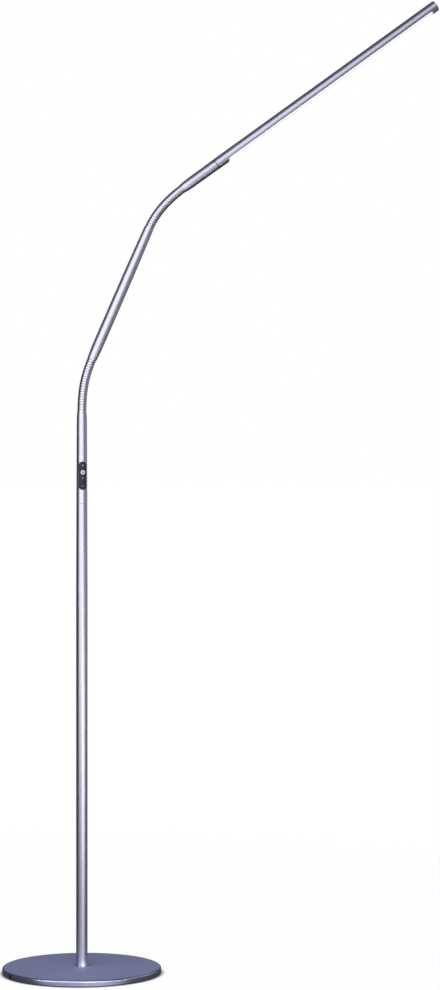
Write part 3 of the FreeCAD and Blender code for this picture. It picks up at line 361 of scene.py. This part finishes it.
# Socket in the base's rim: a moulded black housing round a plated contact pin.
def moulded_group():
    """Moulded plastic: one fine even grain in the colour, the gloss and the surface."""
    group, given, gives = new_group(
        "moulded_grain",
        {
            "Vector": ("NodeSocketVector", None),
            "Tint": ("NodeSocketColor", (0.1, 0.1, 0.1, 1)),
            "Grain Size": ("NodeSocketFloat", 1400.0),
            "Roughness": ("NodeSocketFloat", 0.4),
        },
        {"Color": "NodeSocketColor", "Roughness": "NodeSocketFloat", "Height": "NodeSocketFloat"},
    )
    grit = put(group, "ShaderNodeTexNoise",
               {"Vector": given.outputs["Vector"], "Scale": given.outputs["Grain Size"],
                "Detail": 3.0})
    tone = put(group, "ShaderNodeMapRange", {0: grit.outputs[0], 3: 0.9, 4: 1.1})
    color = put(group, "ShaderNodeVectorMath",
                {0: given.outputs["Tint"], 1: tone.outputs[0]}, operation="MULTIPLY")
    swing = put(group, "ShaderNodeMapRange",
                {0: grit.outputs[0], 1: 0.3, 2: 0.7, 3: -0.04, 4: 0.04})
    rough = put(group, "ShaderNodeMath",
                {0: given.outputs["Roughness"], 1: swing.outputs[0]}, operation="ADD")
    group.links.new(color.outputs[0], gives.inputs["Color"])
    group.links.new(rough.outputs[0], gives.inputs["Roughness"])
    group.links.new(grit.outputs[0], gives.inputs["Height"])
    return group


MOULDED = moulded_group()


def moulded_plastic(name, color, roughness, bump=0.15, ink=None, mark=None, **plain):
    """Moulded plastic, with ink on it where a mark is 1."""
    material, tree, shader = new_material(name, **plain)
    place = put(tree, "ShaderNodeTexCoord")
    moulded = put(tree, "ShaderNodeGroup",
                  {"Vector": place.outputs["Object"], "Tint": (*color, 1), "Roughness": roughness},
                  node_tree=MOULDED)
    relief = put(tree, "ShaderNodeBump",
                 {"Height": moulded.outputs["Height"], "Strength": bump, "Distance": 0.0001})
    tree.links.new(moulded.outputs["Color"], shader.inputs["Base Color"])
    tree.links.new(moulded.outputs["Roughness"], shader.inputs["Roughness"])
    tree.links.new(relief.outputs[0], shader.inputs["Normal"])
    if mark:
        printed = put(tree, "ShaderNodeMix", data_type="RGBA")
        tree.links.new(mark(tree, place.outputs["Object"]), printed.inputs[0])
        tree.links.new(moulded.outputs["Color"], printed.inputs[6])
        printed.inputs[7].default_value = (*ink, 1)
        tree.links.new(printed.outputs[2], shader.inputs["Base Color"])
    return material


black_plastic = moulded_plastic("black_moulding", (0.018, 0.018, 0.02), 0.5)
paint(["power_jack", "key_switches"], black_plastic)
paint(["jack_pin"], satin_metal("contact_pin", (0.78, 0.74, 0.62), 0.25, grain=2000, draw=0.5))

# Pole. Two drawn tubes, the lower one tapered a little to meet the upper one at a fine seam, and
# a short flared collar that hides the joint with the base. All are plated in satin nickel.
tube_nickel = satin_metal("satin_tube", NICKEL, 0.34)
paint(["pole_foot", "lower_pole", "control_tube"], tube_nickel)

# Control panel. A curved black moulding let into the tube, with three keys, a small light, and
# the board behind that carries their switches. The upper key is printed with a plus, the lower one
# with a minus, and the power key with a white ring.
POWER_HEIGHT = 0.7207
BRIGHTER_HEIGHT = 0.7306
DIMMER_HEIGHT = 0.7010
RING_INSIDE = 0.0012
RING_OUTSIDE = 0.0031
BAR_REACH = 0.0018
BAR_HALF_WIDTH = 0.0004
PANEL = (0.030, 0.033, 0.052)
PANEL_SHINE = 0.2
KEY_INK = (0.30, 0.31, 0.36)
RING_INK = (0.80, 0.81, 0.86)


def from_key(tree, place, height):
    """How far a place is from a key's axis, as a vector without signs."""
    aside = put(tree, "ShaderNodeVectorMath", {0: place, 1: (0, 0, height)}, operation="SUBTRACT")
    level = put(tree, "ShaderNodeVectorMath", {0: aside.outputs[0], 1: (1, 0, 1)},
                operation="MULTIPLY")
    return put(tree, "ShaderNodeVectorMath", {0: level.outputs[0]}, operation="ABSOLUTE").outputs[0]


def bar(tree, aside, along, across):
    """A mark that is 1 inside a bar along one axis."""
    axes = put(tree, "ShaderNodeSeparateXYZ", {0: aside}).outputs
    long = put(tree, "ShaderNodeMath", {0: axes[along], 1: BAR_REACH}, operation="LESS_THAN")
    thin = put(tree, "ShaderNodeMath", {0: axes[across], 1: BAR_HALF_WIDTH}, operation="LESS_THAN")
    return put(tree, "ShaderNodeMath", {0: long.outputs[0], 1: thin.outputs[0]},
               operation="MULTIPLY").outputs[0]


def minus(tree, place):
    """A level bar on the lower key."""
    return bar(tree, from_key(tree, place, DIMMER_HEIGHT), "X", "Z")


def plus(tree, place):
    """A level bar and an upright one on the upper key."""
    aside = from_key(tree, place, BRIGHTER_HEIGHT)
    level, upright = bar(tree, aside, "X", "Z"), bar(tree, aside, "Z", "X")
    return put(tree, "ShaderNodeMath", {0: level, 1: upright}, operation="MAXIMUM").outputs[0]


def ring(tree, place):
    """A ring between two radii round the power key's axis."""
    radius = put(tree, "ShaderNodeVectorMath", {0: from_key(tree, place, POWER_HEIGHT)},
                 operation="LENGTH")
    inside = put(tree, "ShaderNodeMath", {0: radius.outputs["Value"], 1: RING_OUTSIDE},
                 operation="LESS_THAN")
    beyond = put(tree, "ShaderNodeMath", {0: radius.outputs["Value"], 1: RING_INSIDE},
                 operation="GREATER_THAN")
    return put(tree, "ShaderNodeMath", {0: inside.outputs[0], 1: beyond.outputs[0]},
               operation="MULTIPLY").outputs[0]


paint(["control_bezel"],
      moulded_plastic("panel_black", PANEL, 0.30, Specular_IOR_Level=PANEL_SHINE))
for key, finish, roughness, ink, mark in [
        ("brighter_key", "plus_key", 0.34, KEY_INK, plus),
        ("dimmer_key", "minus_key", 0.34, KEY_INK, minus),
        ("power_key", "ring_key", 0.35, RING_INK, ring)]:
    paint([key], moulded_plastic(finish, PANEL, roughness, ink=ink, mark=mark,
                                 Specular_IOR_Level=PANEL_SHINE))
paint(["power_lens"], moulded_plastic("key_lens", (0.02, 0.02, 0.03), 0.12, bump=0.02))
paint(["indicator_pipe"], moulded_plastic("light_pipe", (0.45, 0.46, 0.52), 0.2, bump=0.02))
paint(["control_board"], moulded_plastic("green_board", (0.03, 0.20, 0.08), 0.35))

# Necks. Each is a flexible hose wound from one bright nickelled steel strip, whose turns meet in a
# fine groove that climbs it like a screw thread. A short turned fitting grips it at either end.
# It is cut at each hinge into stiff stretches, each with its bit of the lead. Under the wall each
# ends in a ball that turns in a seat in the next, so no gap opens when the neck bends. Places along
# a neck count in runs from bend to bend, so that a hinge comes at every half.
PITCH = 0.00368
LINK = 2 * PITCH
HOSE_RADIUS = 0.0065
HOSE_BORE = 0.0042
BALL_RADIUS = 0.00576
SEAT_RADIUS = 0.00586
GROOVE_DEPTH = 0.00036
GROOVE_SHARE = 0.30
CROWN_DROP = 0.00005
BENDS = 6
GRIPPED = PITCH / LINK / 4
LEAD_RADIUS = 0.0012
LEAD_OVERRUN = 0.25
WALL_STEP = 0.0125
LEAD_STEP = 0.05
BALL_STEPS = 9


def smooth_line(corners, places):
    """A smooth line past corners. From the middle of one run to the middle of the next it is a
    parabola, p = (1-u)^2 a + 2u (1-u) b + u^2 c, where b is the corner between. A place of 2.25 is
    a quarter of the way round the third such corner. Returns points and unit headings."""
    corners = np.array(corners)
    middles = (corners[:-1] + corners[1:]) / 2
    number = np.minimum(places.astype(int), len(corners) - 3)
    u = (places - number)[:, None]
    a, b, c = middles[number], corners[number + 1], middles[number + 1]
    points = (1 - u) ** 2 * a + 2 * u * (1 - u) * b + u ** 2 * c
    headings = (1 - u) * (b - a) + u * (c - b)
    return points, headings / np.linalg.norm(headings, axis=1, keepdims=True)


def rings_along(points, headings, radii, angles):
    """Rings round a line: p + r (cos t * across + sin t * beside), where across = Y x heading and
    beside = heading x across. Radii is one number, or a grid of one per point and angle."""
    across = np.cross((0.0, 1.0, 0.0), headings)
    across /= np.linalg.norm(across, axis=1, keepdims=True)
    beside = np.cross(headings, across)
    spoke = (across[:, None] * np.cos(angles)[None, :, None]
             + beside[:, None] * np.sin(angles)[None, :, None])
    radii = np.broadcast_to(radii, (len(points), len(angles)))
    return points[:, None] + radii[:, :, None] * spoke


def skin(name, rings, hollow):
    """Joins rings into a skin. A hollow one closes from its last ring on to its first, and a solid
    one has a flat face at either end. Edges sharper than 55 degrees stay crisp."""
    rows, columns = rings.shape[:2]
    here = np.arange(rows * columns).reshape(rows, columns)
    beside = np.roll(here, -1, axis=1)
    faces = np.stack([here, beside, np.roll(beside, -1, axis=0), np.roll(here, -1, axis=0)], 2)
    faces = faces if hollow else faces[:-1]
    ends = [] if hollow else [here[0, ::-1].tolist(), here[-1].tolist()]
    mesh = bpy.data.meshes.new(name)
    mesh.from_pydata(rings.reshape(-1, 3).tolist(), [], faces.reshape(-1, 4).tolist() + ends)
    mesh.shade_smooth()
    mesh.set_sharp_from_angle(angle=math.radians(55))
    made = bpy.data.objects.new(name, mesh)
    bpy.context.scene.collection.objects.link(made)
    return made


def wound_radii(turns, angles):
    """The hose's radius: R - drop (2x)^2 - depth (1 + cos(2 pi g / share)) / 2, where x, from -1/2
    to 1/2, is the place across the strip, and g = 1/2 - |x| is how far off the groove is."""
    across = turns[:, None] - angles[None, :] / (2 * np.pi)
    across -= np.round(across)
    gap = 0.5 - np.abs(across)
    groove = np.where(gap < GROOVE_SHARE / 2, 1 + np.cos(2 * np.pi * gap / GROOVE_SHARE), 0) / 2
    return HOSE_RADIUS - CROWN_DROP * (2 * across) ** 2 - GROOVE_DEPTH * groove


def unit(vector):
    """A vector of length 1 the same way."""
    return vector / np.linalg.norm(vector)


def spread(start, end, step):
    """Places from start to end, evenly and about a step apart."""
    return np.linspace(start, end, max(2, round((end - start) / step) + 1))


neck_nickel = satin_metal("neck_nickel", (0.62, 0.62, 0.72), 0.28, grain=1500, draw=0.0)
lead_jacket = moulded_plastic("lead_jacket", (0.02, 0.02, 0.02), 0.45)
JOINTS = {joint["name"]: joint for joint in frame["joints"]}
AROUND_HOSE = np.linspace(0, 2 * np.pi, 48, endpoint=False)
AROUND_LEAD = np.linspace(0, 2 * np.pi, 12, endpoint=False)


def hinge_point(name):
    """Where a joint's axis meets the neck at rest."""
    return np.array(JOINTS[name]["pos_m"])


def ball_rings(centre, heading, radius, depths):
    """Rings of a ball: at depth d along the heading from its centre the radius is the square root
    of r^2 - d^2."""
    points = centre + depths[:, None] * heading
    headings = np.repeat(heading[None], len(depths), axis=0)
    radii = np.sqrt(radius ** 2 - depths ** 2)
    return rings_along(points, headings, radii[:, None], AROUND_HOSE)


def hose_rings(corners, places, hinge_before, hinge_after):
    """A stretch of hose as one closed loop of rings: the wound wall from end to end, a ball about
    the hinge after it, the bore back, and a hollow seat for the ball of the stretch before it."""
    points, headings = smooth_line(corners, places)
    loop = [rings_along(points, headings, wound_radii(places * 2 * LINK / PITCH, AROUND_HOSE),
                        AROUND_HOSE)]
    if hinge_after is None:
        seat_depth = np.linalg.norm(points[-1] - points[0])
    else:
        ball_depth = math.sqrt(BALL_RADIUS ** 2 - HOSE_BORE ** 2)
        loop.append(ball_rings(hinge_after, headings[-1], BALL_RADIUS,
                               np.linspace(0, ball_depth, BALL_STEPS)))
        seat_depth = math.sqrt(SEAT_RADIUS ** 2 - HOSE_BORE ** 2)
    if hinge_before is None:
        loop.append(rings_along(points[:1], headings[:1], HOSE_BORE, AROUND_HOSE))
    else:
        loop.append(ball_rings(hinge_before, headings[0], SEAT_RADIUS,
                               np.linspace(seat_depth, 0, BALL_STEPS)))
    return np.concatenate(loop)


def neck_hose(neck, before, after, run_in, run_out):
    """A whole neck: its line runs from a point before it to a point after it past its bends, and
    the lead goes on from it through run_in and run_out, each a list of points and headings."""
    bends = [hinge_point(f"{neck}_bend_{number:02d}") for number in range(1, BENDS + 1)]
    first = bends[0] - 2 * LINK * unit(bends[0] - before)
    last = bends[-1] + 2 * LINK * unit(after - bends[-1])
    corners = [first, *bends, last]
    hinges = [f"{neck}_{kind}_{number:02d}"
              for number in range(1, BENDS + 1) for kind in ("bend", "sway")][:-1]
    bodies = [JOINTS[hinges[0]]["parent"], *(JOINTS[hinge]["child"] for hinge in hinges)]
    top = len(hinges)
    first_hinge, last_hinge = 0.5, BENDS - 0.5
    for number, body in enumerate(bodies):
        hose_start = max(number / 2, first_hinge - GRIPPED)
        hose_end = min(number / 2 + 0.5, last_hinge + GRIPPED)
        rings = hose_rings(corners, spread(hose_start, hose_end, WALL_STEP),
                           hinge_point(hinges[number - 1]) if number > 0 else None,
                           hinge_point(hinges[number]) if number < top else None)
        hose = skin(f"{neck}_hose_{number + 1:02d}", rings, True)
        hose.data.materials.append(neck_nickel)
        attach(hose, body)
        if 0 < number < top:
            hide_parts(f"{neck}_neck_link_{number:02d}")

        lead_start = max(number / 2, first_hinge - LEAD_OVERRUN)
        lead_end = min(number / 2 + 0.5, last_hinge + LEAD_OVERRUN)
        points, headings = smooth_line(corners, spread(lead_start, lead_end, LEAD_STEP))
        if number == 0:
            points, headings = (np.concatenate(pair) for pair in zip(run_in, (points, headings)))
        if number == top:
            points, headings = (np.concatenate(pair) for pair in zip((points, headings), run_out))
        lead = skin(f"{neck}_lead_{number + 1:02d}",
                    rings_along(points, headings, LEAD_RADIUS, AROUND_LEAD), False)
        lead.data.materials.append(lead_jacket)
        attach(lead, body)
        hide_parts(f"{neck}_lead")


paint(["lower_neck_foot", "lower_neck_cap", "upper_neck_foot", "upper_neck_cap"], neck_nickel)
pole_top = hinge_point("lower_bend_01")
arm_start = hinge_point("lower_bend_06")
arm_end = hinge_point("upper_bend_01")
ferrule_start = hinge_point("upper_bend_06")
swivel = hinge_point("head_swivel")
up_pole = np.array((0.0, 0.0, 1.0))
up_arm = unit(arm_end - arm_start)
up_head = unit(swivel - ferrule_start)

# The lead leaves the control board beside the pole's axis and moves over to it under the neck. The
# leads of the two necks meet inside the arm.
BOARD_TOP = 0.7328
LEAD_ASIDE = 0.0019
LEAD_HEADING = math.radians(18)
LEAD_LEANS_AFTER = 0.0287
LEAD_CENTRED_AT = 0.7915
LEADS_MEET_AFTER = 0.021
LEAD_INTO_FERRULE = 0.030
beside_board = np.array((LEAD_ASIDE * math.cos(LEAD_HEADING), LEAD_ASIDE * math.sin(LEAD_HEADING),
                         BOARD_TOP))
to_neck = [beside_board - LEAD_LEANS_AFTER * up_pole, beside_board + LEAD_LEANS_AFTER * up_pole,
           LEAD_CENTRED_AT * up_pole,
           2 * (pole_top - LINK * up_pole) - LEAD_CENTRED_AT * up_pole]
pole_run = smooth_line(to_neck, spread(0, 2, 2 * LEAD_STEP))
arm_meeting = ([arm_start + LEADS_MEET_AFTER * up_arm], [up_arm])
ferrule_run = ([ferrule_start + LEAD_INTO_FERRULE * up_head], [up_head])
neck_hose("lower", pole_top - up_pole, arm_end, pole_run, arm_meeting)
neck_hose("upper", arm_start, swivel, arm_meeting, ferrule_run)

# Arm. A drawn tube joins the two necks and a tapered ferrule carries the head. Both are plated in
# the same satin nickel as the pole, and the plugs of the necks' fittings sit in their ends.
paint(["mid_tube"], satin_metal("satin_mid", NICKEL, 0.36, lean=24))
paint(["head_ferrule"], satin_metal("satin_ferrule", NICKEL, 0.36, lean=54))

# Swivel. The head turns on a hollow steel shaft that is fixed in the ferrule. A dark nylon washer
# fills the seam between the two.
paint(["swivel_shaft"], zinc_steel)
paint(["swivel_washer"], moulded_plastic("dark_nylon", (0.02, 0.02, 0.025), 0.45))

# Head. A long round tube of the same satin nickel, cut away below and capped at its tip. In the cut
# a cover of milky plastic is clipped in and glows, with the board and its light chips behind it.
COVER_GLOW = 0.62
head_nickel = satin_metal("satin_head", NICKEL, 0.36, lean=54)
paint(["head_tube", "tip_cap"], head_nickel)
milky, tree, shader = new_material("milky_cover", Emission_Strength=COVER_GLOW)
place = put(tree, "ShaderNodeTexCoord")
haze = put(tree, "ShaderNodeTexNoise", {"Vector": place.outputs["Object"], "Scale": 350.0})
milk = put(tree, "ShaderNodeMix", data_type="RGBA")
tree.links.new(haze.outputs[0], milk.inputs[0])
milk.inputs[6].default_value = (0.90, 0.91, 0.94, 1)
milk.inputs[7].default_value = (0.94, 0.95, 0.98, 1)
gloss = put(tree, "ShaderNodeMapRange", {0: haze.outputs[0], 1: 0.3, 2: 0.7, 3: 0.32, 4: 0.40})
tree.links.new(milk.outputs[2], shader.inputs["Base Color"])
tree.links.new(milk.outputs[2], shader.inputs["Emission Color"])
tree.links.new(gloss.outputs[0], shader.inputs["Roughness"])
paint(["diffuser"], milky)
paint(["light_board"], moulded_plastic("white_board", (0.85, 0.85, 0.85), 0.4))
paint(["light_chips"], moulded_plastic("light_chip", (0.85, 0.72, 0.22), 0.3))

# Leads. The wires in the base, the pole and the head run in the same black jacket as those in the
# necks, from the socket to the control board and on to the light board.
paint(["supply_lead", "head_lead"], lead_jacket)
